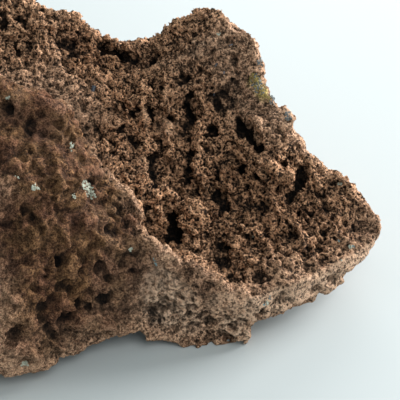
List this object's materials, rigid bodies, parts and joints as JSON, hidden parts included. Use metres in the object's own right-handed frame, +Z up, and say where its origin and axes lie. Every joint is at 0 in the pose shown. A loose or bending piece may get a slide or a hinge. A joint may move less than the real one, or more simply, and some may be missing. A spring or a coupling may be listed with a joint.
{
  "type": "lava rock",
  "caption": "Free-standing lump of vesicular lava rock with two rounded knobs, a tall back ridge, a pitted valley and a pointed corner slab; a display or aquascape stone.",
  "frame": {"origin": "middle of the bounding box's footprint, on the ground under the rock", "axes": "+Z up from the ground; +X along the longest side, towards the pointed corner slab; +Y from the big front knob towards the tall back ridge"},
  "size_m": [0.2024, 0.1718, 0.099],
  "materials": {
    "scoria": "matt, pitted red-brown volcanic stone with pale mineral bloom and a small yellow-green lichen patch"
  },
  "bodies": {
    "root": {"lava_rock": "scoria"}
  },
  "joints": []
}
